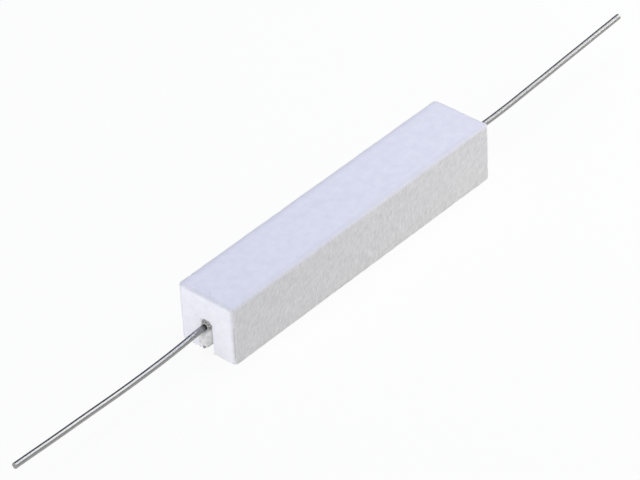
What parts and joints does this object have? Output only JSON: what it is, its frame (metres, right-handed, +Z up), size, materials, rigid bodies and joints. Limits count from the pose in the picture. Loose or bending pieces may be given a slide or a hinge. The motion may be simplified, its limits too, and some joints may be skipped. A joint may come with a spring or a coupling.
{
  "type": "axial cement resistor",
  "caption": "Axial power resistor: a wound ceramic rod set in cement in a white rectangular ceramic trough, with a bare tinned lead from each end.",
  "frame": {"origin": "under the middle of the case, on the surface that its open rim rests on", "axes": "+X along the leads and the length of the case, +Y across the case, +Z up through the closed roof"},
  "size_m": [0.115, 0.0092, 0.0087],
  "materials": {
    "white_ceramic": "pressed and fired, unglazed, fine matt grain",
    "cement": "poured and cured, gritty and dull",
    "rod_ceramic": "extruded and fired, matt",
    "resistance_alloy": "bare drawn alloy wire",
    "plated_cap": "drawn and plated",
    "tinned_wire": "drawn and tinned, satin bright"
  },
  "bodies": {
    "root": {"ceramic_case": "white_ceramic", "cement_filling": "cement", "core_rod": "rod_ceramic", "resistance_wire": "resistance_alloy", "end_cap_left": "plated_cap", "end_cap_right": "plated_cap", "lead_wire_left": "tinned_wire", "lead_wire_right": "tinned_wire"}
  },
  "joints": []
}
